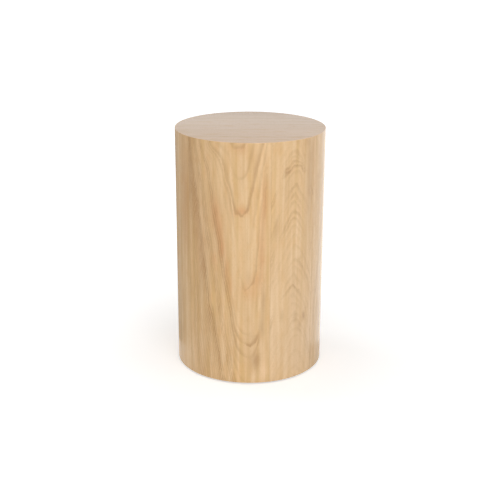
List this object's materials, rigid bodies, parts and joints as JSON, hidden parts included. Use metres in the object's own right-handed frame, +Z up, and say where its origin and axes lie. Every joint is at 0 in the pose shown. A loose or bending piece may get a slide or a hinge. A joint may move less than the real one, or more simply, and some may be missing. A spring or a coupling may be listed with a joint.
{
  "type": "side table",
  "caption": "Upright round drum side table with a flush flat top: a hollow board and plywood cylinder skinned in oak veneer, standing on small recessed glides.",
  "frame": {"origin": "on the floor, under the middle of the round top", "axes": "+Z up along the drum's axis, -Y towards the front that the picture shows, +X to its right"},
  "size_m": [0.28, 0.28, 0.46],
  "materials": {
    "oak_veneer": "satin clear lacquer over flat crown-cut oak",
    "mdf": "raw, sanded board",
    "bending_ply": "raw, sanded birch-faced bending plywood",
    "pine": "raw, planed",
    "beech": "raw, turned",
    "zinc_steel": "bright zinc plated",
    "nylon": "moulded, matt white"
  },
  "bodies": {
    "root": {"top_leaf_front": "oak_veneer", "top_leaf_back": "oak_veneer", "top_core": "mdf", "balancing_veneer": "oak_veneer", "wall_outer_ply": "bending_ply", "wall_inner_ply": "bending_ply", "base_panel": "mdf", "top_dowels": "beech", "top_screws": "zinc_steel", "batten_screws": "zinc_steel", "wall_brads": "zinc_steel", "panel_screws": "zinc_steel", "glide_screws": "zinc_steel", "side_leaf_1": "oak_veneer", "side_leaf_2": "oak_veneer", "side_leaf_3": "oak_veneer", "side_leaf_4": "oak_veneer", "side_leaf_5": "oak_veneer", "side_leaf_6": "oak_veneer", "ring_bottom": "mdf", "ring_middle": "mdf", "ring_top": "mdf", "batten_1": "pine", "glide_1": "nylon", "batten_2": "pine", "glide_2": "nylon", "batten_3": "pine", "glide_3": "nylon", "batten_4": "pine", "glide_4": "nylon"}
  },
  "joints": []
}
